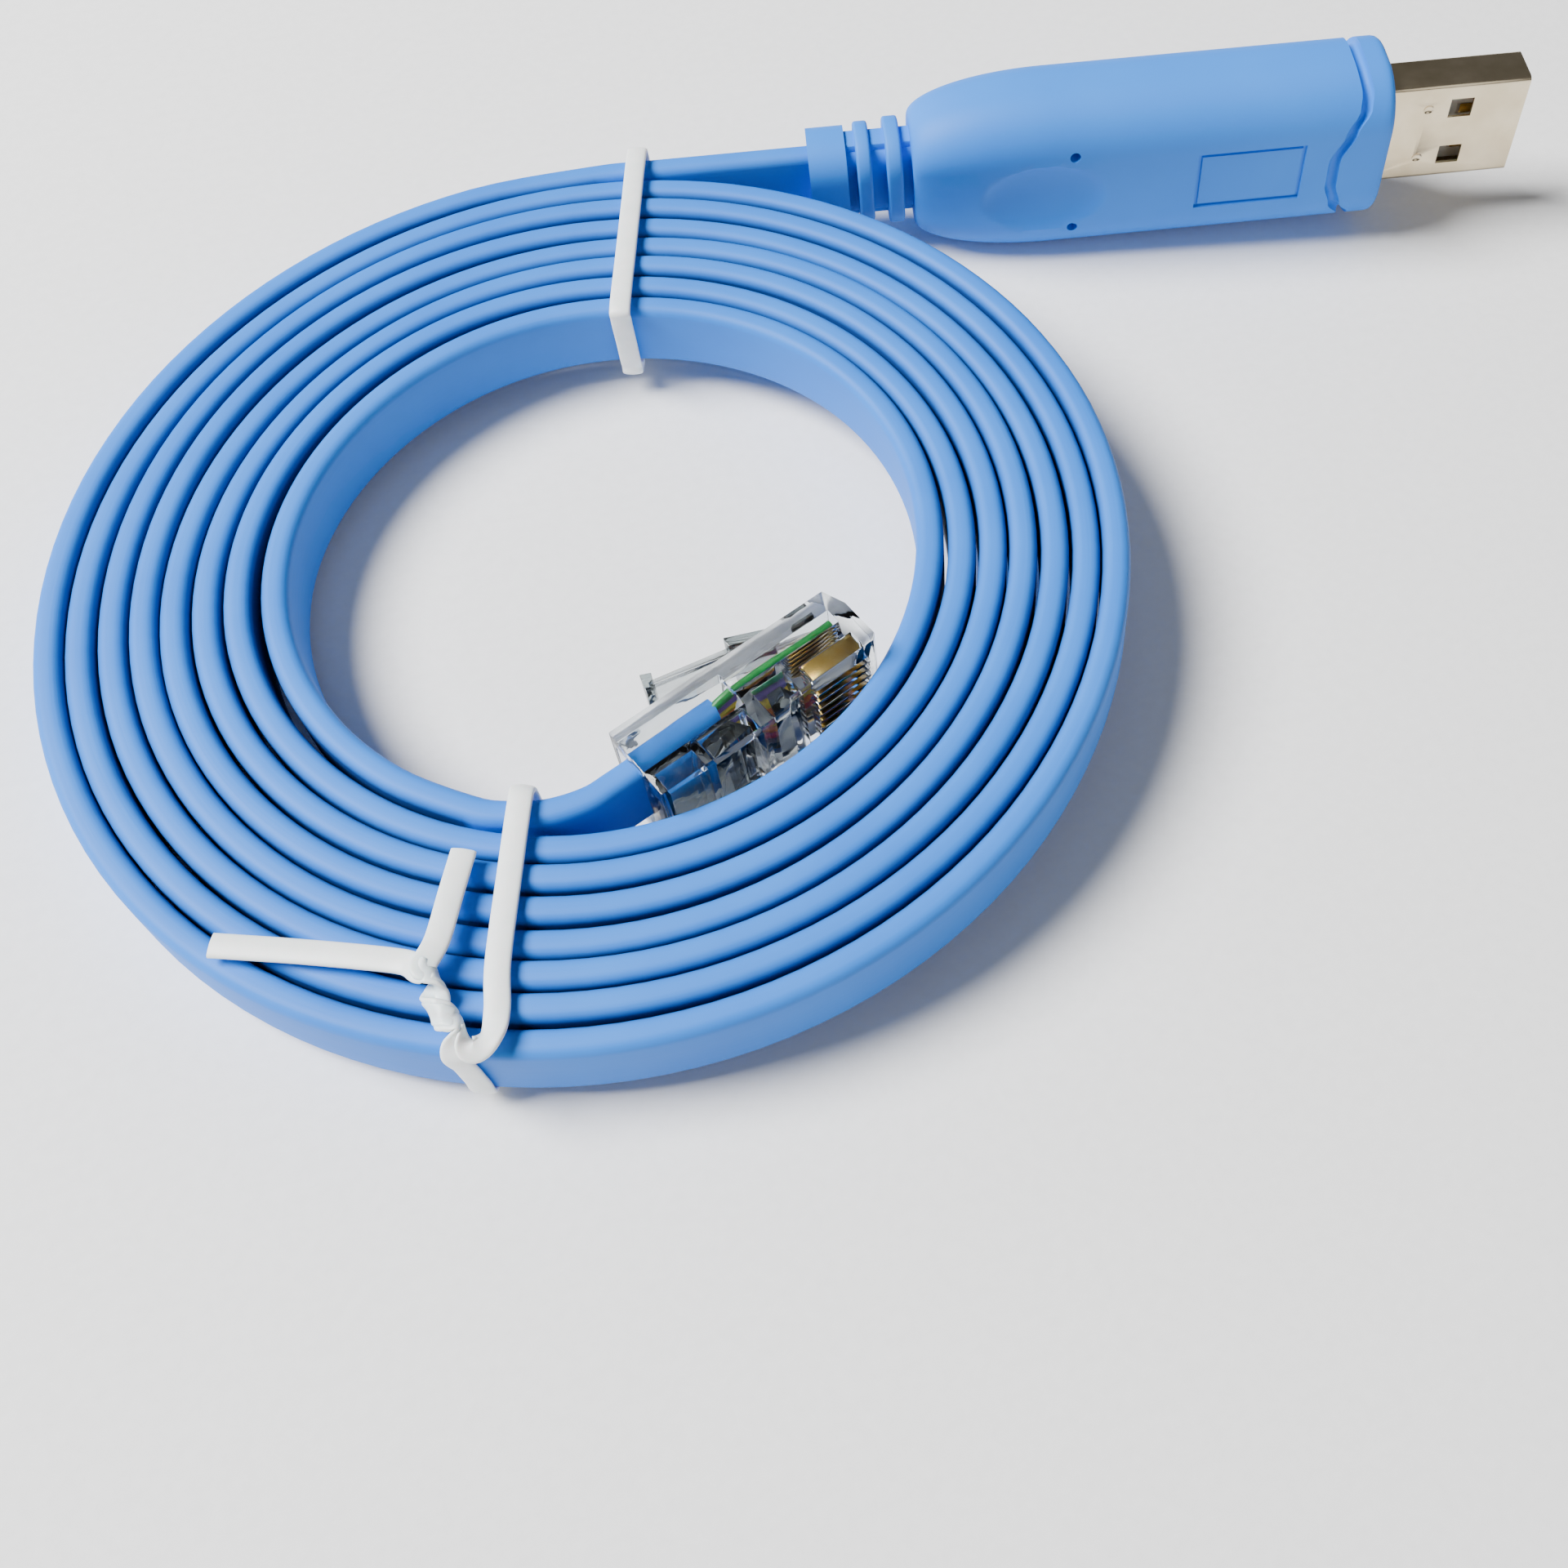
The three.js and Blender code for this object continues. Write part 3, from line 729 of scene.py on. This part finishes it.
def make_shell():
    """The folded shell, open in front, with two windows and two pressed dimples."""
    outer = (SHELL_THICKNESS, SHELL_WIDTH, SHELL_LENGTH + SHELL_TAIL)
    inner = (SHELL_THICKNESS - 2 * SHELL_WALL, SHELL_WIDTH - 2 * SHELL_WALL, SHELL_LENGTH + 4)
    shell = rounded_block("usb_shell_skin", outer, (0, 0, (SHELL_LENGTH - SHELL_TAIL) / 2), 0.55, 4)
    cut(shell, rounded_block("hollow", inner, (0, 0, SHELL_LENGTH / 2 + 1), 0.3, 3))
    for side in (1, -1):
        cut(shell, rounded_block("window", (8.0, 2.3, 2.4), (0, side * 3.0, 8.1)))
    for side in (1, -1):
        clear_selection()
        bpy.ops.mesh.primitive_uv_sphere_add(segments=24, ring_count=16, radius=0.8,
                                             location=(-2.83, side * 3.1, 4.7))
        cut(shell, settle(bpy.context.object, Matrix.Identity(4)))
    bevel(shell, 0.06, 2, 40)
    return settle(shell, USB)


def make_tongue():
    """The white block that carries the contacts, with a channel for each."""
    size = (1.7, 10.8, SHELL_LENGTH - 0.9)
    tongue = rounded_block("usb_tongue_block", size, (0.8, 0, (SHELL_LENGTH - 0.3) / 2))
    for place in CONTACT_PLACES:
        cut(tongue, rounded_block("channel", (0.5, 1.3, 5.2), (-0.05, place, SHELL_LENGTH - 3.5)))
    bevel(tongue, 0.1, 2, 40)
    return settle(tongue, USB)


def make_usb_contact(index, place):
    centre = (-0.02, place, SHELL_LENGTH - 3.6)
    contact = rounded_block("usb_pin_%d" % (index + 1), (0.25, 1.0, 4.4), centre)
    bevel(contact, 0.08, 2, 40)
    return settle(contact, USB)


finish_piece(make_shell(), NICKEL, ("usb_shell",), 30)
finish_piece(make_tongue(), NYLON, ("usb_tongue",), 30)
for index, place in enumerate(CONTACT_PLACES):
    finish_piece(make_usb_contact(index, place), GOLD, ("usb_contact_%d" % (index + 1),), 30)


# The clear plug

def prism(name, outline, half_width):
    """A profile across the plug's thickness and length, as wide as the plug or less."""
    clear_selection()
    bpy.ops.mesh.primitive_circle_add(vertices=len(outline), radius=1, fill_type="NGON")
    piece = bpy.context.object
    piece.name = name
    for vertex, (x, z) in zip(piece.data.vertices, outline):
        vertex.co = (x, -half_width, z)
    bpy.ops.object.mode_set(mode="EDIT")
    bpy.ops.mesh.select_all(action="SELECT")
    bpy.ops.mesh.extrude_region_move(TRANSFORM_OT_translate={"value": (0, 2 * half_width, 0)})
    bpy.ops.mesh.select_all(action="SELECT")
    bpy.ops.mesh.normals_make_consistent(inside=False)
    bpy.ops.object.mode_set(mode="OBJECT")
    return piece


# Profiles in the clear plug: x across its thickness towards the latch, z from its back to its nose.
PLUG_PROFILE = ((-3.7, 0), (-3.7, 12.4), (-2.9, 13.0), (-2.9, 21.5), (-2.4, 22.0), (1.5, 22.0), (3.7, 21.2),
                (3.7, 0))
LEVER_PROFILE = ((-3.1, 5.3), (-2.4, 9.3), (-0.7, 8.1), (-1.3, 5.3))
BAR_PROFILE = ((-2.7, 11.3), (-2.7, 13.9), (-0.9, 13.3), (-0.9, 11.9))
LATCH_PROFILE = ((3.6, 18.0), (3.6, 20.0), (4.1, 19.6), (6.7, 13.4), (8.4, 5.7), (6.3, 4.9), (6.2, 5.3),
                 (7.8, 6.0), (6.0, 13.2))
TAIL_PROFILE = ((8.45, 5.6), (8.0, 6.5), (6.1, 5.6), (6.15, 4.9))
SHOULDER_PROFILE = ((5.9, 12.9), (6.9, 13.0), (5.2, 16.6), (4.7, 16.2))
HALF_PLUG_WIDTH = 5.84
WAYS = 8
CONTACT_PITCH = 1.016


def way_place(index, pitch=CONTACT_PITCH):
    return (index - (WAYS - 1) / 2) * pitch


def make_clear_plug():
    """Thin clear walls round the jacket's hole, the wires' hole, two windows and the contact slots."""
    plug = prism("rj45_housing", PLUG_PROFILE, HALF_PLUG_WIDTH)
    cut(plug, rounded_block("jacket_hole", (3.6, 8.4, 12.0), (JACKET_SEAT, 0, 4.2)))
    cut(plug, rounded_block("wire_hole", (1.5, 9.6, 10.6), (JACKET_SEAT + 0.15, 0, 15.3)))
    cut(plug, rounded_block("clamp_window", (4.0, 9.6, 4.6), (-2.9, 0, 7.4)))
    cut(plug, rounded_block("lower_hollow", (2.0, 9.6, 3.6), (-2.4, 0, 2.6)))
    cut(plug, rounded_block("crimp_window", (4.4, 9.6, 3.2), (-2.3, 0, 12.6)))
    for index in range(WAYS):
        cut(plug, rounded_block("slot", (4.4, 0.62, 5.4), (-2.5, way_place(index), 18.2)))
    bevel(plug, 0.1, 2, 30)
    lever = prism("lever", LEVER_PROFILE, 4.5)
    bar = prism("bar", BAR_PROFILE, 4.5)
    strip = prism("latch", LATCH_PROFILE, 1.62)
    tail = prism("tail", TAIL_PROFILE, 3.0)
    shoulder = prism("shoulder", SHOULDER_PROFILE, 3.1)
    for piece in (lever, bar, strip, tail, shoulder):
        bevel(piece, 0.08, 2, 30)
    spring = joined("rj45_latch", [strip, tail, shoulder])
    return settle(joined("rj45_housing", [plug, lever, bar]), JACK), settle(spring, JACK)


clear_plug, latch = make_clear_plug()
finish_piece(clear_plug, CLEAR, ("rj45_body",), 30)
finish_piece(latch, HAZY, (), 30)

WIRE_RADIUS = 0.44
WIRE_NAMES = ("blue", "black", "brown", "red", "orange", "yellow", "purple", "green")
WIRE_COLOURS = ("#2A5FC4", "#1B1B1E", "#7A4A2C", "#D8322C", "#E8842A", "#E8CC3A", "#7A4FA0", "#1F8F3F")


def make_wire(index):
    """One conductor, fanned out from the jacket's end and then straight to its blade."""
    place = way_place(index)
    points = [Vector((JACKET_SEAT, way_place(index, 0.86), 8.1)), Vector((1.4, place, 10.2)),
              Vector((1.5, place, 13.6)), Vector((1.45, place, 16.8)), Vector((1.5, place, 20.3))]
    line = smooth_line(points, 6)
    angles = [2 * math.pi * step / 14 for step in range(14)]
    section = [(WIRE_RADIUS * math.cos(angle), WIRE_RADIUS * math.sin(angle)) for angle in angles]
    wire = sweep("conductor_%s" % WIRE_NAMES[index], line, [Vector((1, 0, 0))] * len(line), section)
    return settle(wire, JACK)


def make_blade(index):
    blade = rounded_block("blade_%d" % (index + 1), (2.3, 0.35, 5.0), (-1.4, way_place(index), 18.2))
    bevel(blade, 0.1, 2, 40)
    return settle(blade, JACK)


for index in range(WAYS):
    finish = wire_insulation("insulation_%s" % WIRE_NAMES[index], WIRE_COLOURS[index])
    finish_piece(make_wire(index), finish,
                                    ("rj45_wire_%d" % (index + 1),), 60)
    finish_piece(make_blade(index), GOLD, ("rj45_contact_%d" % (index + 1),), 30)


# The ties

def tie_section():
    """A flat band 2 mm wide, thickest where its wire runs."""
    points = []
    for step in range(20):
        angle = 2 * math.pi * step / 20
        width = 1.0 * math.copysign(abs(math.cos(angle)) ** 0.7, math.cos(angle))
        thickness = 0.30 * math.copysign(abs(math.sin(angle)) ** 0.7, math.sin(angle))
        thickness *= 1 + 0.15 * math.exp(-(width / 0.35) ** 2)
        points.append((thickness, width))
    return points


def make_tie(name, stops):
    """Each stop is a point and the way that the band's flat side faces there."""
    line = smooth_line([Vector(point) for point, _ in stops], 8)
    normals = [way.normalized() for way in smooth_line([Vector(way) for _, way in stops], 8)]
    return settle(sweep(name, line, normals, tie_section()), POSE)


def loop_stops(angle, inner, outer, low, high):
    """Once round the coil: up in the hole, over the turns, and down outside."""
    way = heading(angle)
    corner = 1.0
    middle = (low + high) / 2
    places = [((inner + outer) / 2, low, 0, -1), (inner + corner, low, 0, -1),
              (inner, low + corner, -1, 0), (inner, middle, -1, 0), (inner, high - corner, -1, 0),
              (inner + corner * 0.8, high, 0, 1), ((2 * inner + outer) / 3, high, 0, 1),
              ((inner + 2 * outer) / 3, high, 0, 1), (outer - corner, high, 0, 1),
              (outer, high - corner, 1, 0), (outer, middle, 1, 0), (outer, low + corner, 1, 0),
              (outer - corner, low, 0, -1)]
    return [((way.x * radius, way.y * radius, height), (way.x * out, way.y * out, up))
            for radius, height, out, up in places]


def far_tie():
    stops = loop_stops(72, 26.1, 48.9, -0.45, 7.75)
    stops.append(stops[0])
    return make_tie("tie_far", stops)


def twisted(start, end, turns, radius, phase, count):
    """One strand of the knot: a helix from start to end."""
    axis = (end - start).normalized()
    side = axis.cross(Vector((0, 0, 1))).normalized()
    up = side.cross(axis)
    stops = []
    for step in range(count + 1):
        angle = 2 * math.pi * turns * step / count + phase
        way = side * math.cos(angle) + up * math.sin(angle)
        stops.append((start + (end - start) * step / count + way * radius, way))
    return stops


KNOT_TURNS = 1.25
KNOT_RADIUS = 0.6
KNOT_PHASE = 0.3
UP = (0, 0, 1)
DOWN = (0, 0, -1)
SHORT_TAIL = (((-16.4, -26.9, 8.3), (0.1, 0, 1)), ((-17.9, -30.2, 8.6), (0.1, 0, 1)),
              ((-19.6, -33.8, 8.7), (0.1, 0, 1)))
NEAR_CURL = (((-18.9, -42.9, 8.2), (0.3, -0.4, 1)), ((-17.4, -42.3, 8.0), (-0.2, 0.3, 1)))
OVER_TURNS = (((-16.6, -40.3, 7.8), UP), ((-15.8, -36.6, 7.8), UP), ((-13.5, -29.6, 7.75), UP),
              ((-11.6, -24.0, 7.75), UP))
IN_HOLE = (((-11.1, -22.4, 7.2), (0.4, 0.9, 0.3)), ((-11.0, -22.1, 5.8), (0.4, 0.9, 0)),
           ((-11.0, -22.1, 3.0), (0.4, 0.9, 0)), ((-11.0, -22.1, 0.9), (0.4, 0.9, 0)))
UNDER_TURNS = (((-11.3, -23.1, -0.35), DOWN), ((-14.2, -31.0, -0.4), DOWN), ((-18.9, -40.3, -0.4), DOWN))
OUTSIDE = (((-19.7, -42.7, 0.4), (-0.4, -0.9, -0.2)), ((-19.8, -42.9, 2.6), (-0.4, -0.9, 0)),
           ((-20.0, -42.8, 5.2), (-0.4, -0.9, 0.1)), ((-20.3, -42.6, 7.4), (-0.3, -0.8, 0.5)))
LONG_TAIL = (((-22.2, -34.7, 8.5), UP), ((-25.4, -33.0, 8.3), UP), ((-30.2, -30.7, 8.1), UP),
             ((-35.8, -28.2, 8.0), (-0.1, 0, 1)))


def near_tie():
    """Short tail, down through the knot, once round the coil, up through the knot, long tail."""
    start, end = Vector((-19.9, -41.2, 8.5)), Vector((-21.1, -35.9, 8.6))
    opposite = KNOT_PHASE + math.pi - 2 * math.pi * KNOT_TURNS
    down = twisted(end, start, KNOT_TURNS, KNOT_RADIUS, opposite, 9)
    back = twisted(start, end, KNOT_TURNS, KNOT_RADIUS, KNOT_PHASE, 9)
    stops = [*SHORT_TAIL, *down, *NEAR_CURL, *OVER_TURNS, *IN_HOLE, *UNDER_TURNS, *OUTSIDE, *back, *LONG_TAIL]
    return make_tie("tie_near", stops)


finish_piece(far_tie(), TIE, ("twist_tie_far",), 60)
finish_piece(near_tie(), TIE, ("twist_tie_near",), 60)


# Floor and light

def add_floor():
    """Paper a hair below the part, so that the two don't share a plane."""
    clear_selection()
    bpy.ops.mesh.primitive_plane_add(size=6, location=(0, 0, -0.00005))
    floor = bpy.context.object
    floor.name = "floor"
    settle(floor, Matrix.Identity(4))
    floor.data.materials.append(studio_paper())


def add_light(name, place, size, power):
    """A round soft light, aimed at the middle of the part."""
    data = bpy.data.lights.new(name, "AREA")
    data.shape = "DISK"
    data.size = size
    data.energy = power
    light = bpy.data.objects.new(name, data)
    bpy.context.scene.collection.objects.link(light)
    light.location = place
    light.rotation_mode = "QUATERNION"
    light.rotation_quaternion = (-Vector(place)).to_track_quat("-Z", "Y")


def add_world():
    world = bpy.data.worlds.new("studio")
    world.use_nodes = True
    background = world.node_tree.nodes["Background"]
    background.inputs["Color"].default_value = (1, 1, 1, 1)
    background.inputs["Strength"].default_value = 0.13
    bpy.context.scene.world = world


add_floor()
add_world()
add_light("overhead", (-0.62, 0.22, 0.78), 0.56, 30)
add_light("front_fill", (0.2, -0.9, 0.55), 0.8, 1.6)
